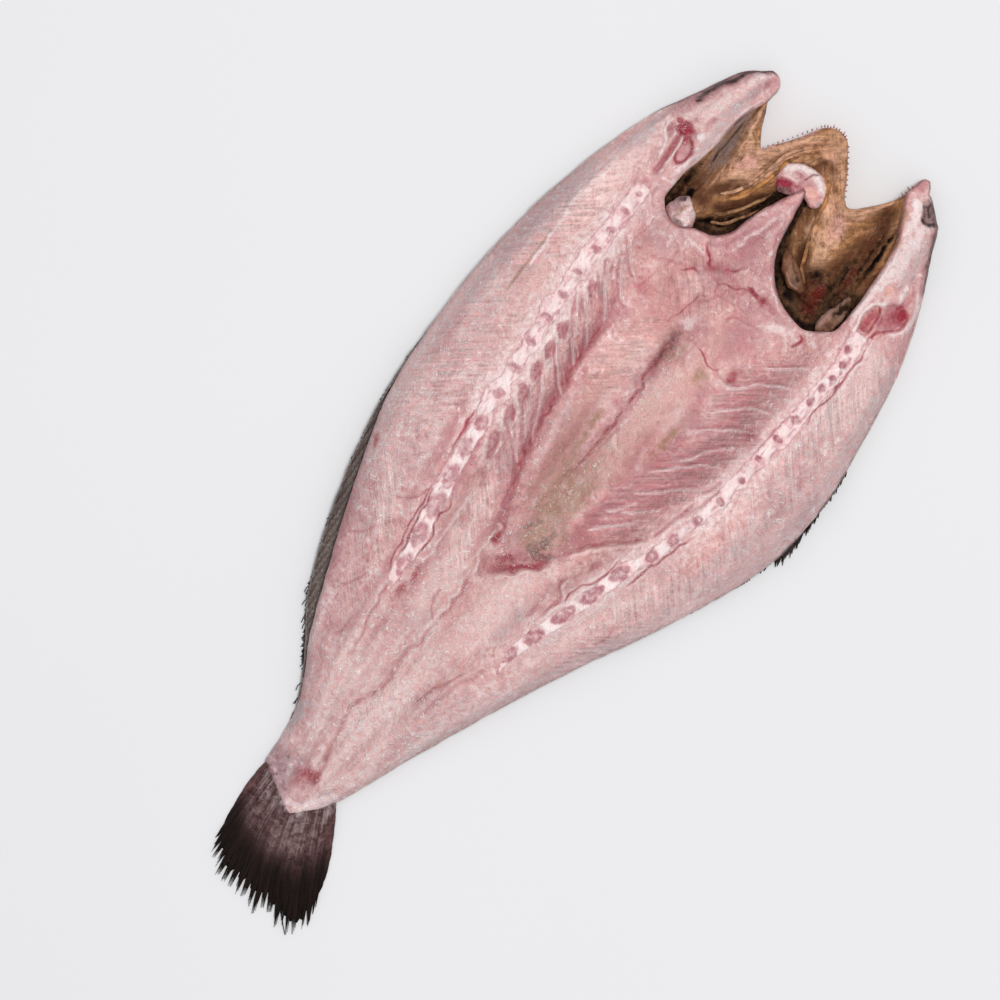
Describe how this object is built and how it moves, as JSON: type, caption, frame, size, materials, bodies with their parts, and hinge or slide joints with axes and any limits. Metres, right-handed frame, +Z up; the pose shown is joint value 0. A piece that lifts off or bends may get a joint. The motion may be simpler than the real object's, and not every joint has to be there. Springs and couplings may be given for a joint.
{
  "type": "semi-dried split croaker",
  "caption": "Large croaker slit along the back, opened flat and half dried, flesh side up, with halved head, backbone halves, brown mouth lining and dark tail fin.",
  "frame": {"origin": "centre of the fish's plan, on the level that its skin side lies on", "axes": "+X along the fish towards the snout, +Y towards the fish's left half, +Z up from the skin side to the cut side"},
  "size_m": [0.54, 0.235, 0.0316],
  "materials": {
    "flesh": "moist pink flesh, half matt",
    "skin": "grey-brown scaled skin",
    "bone": "pale pink bone and gristle",
    "mouth_lining": "moist brown mouth lining",
    "fin": "dry near-black fin rays and web"
  },
  "bodies": {
    "root": {"fish": "flesh"}
  },
  "joints": []
}
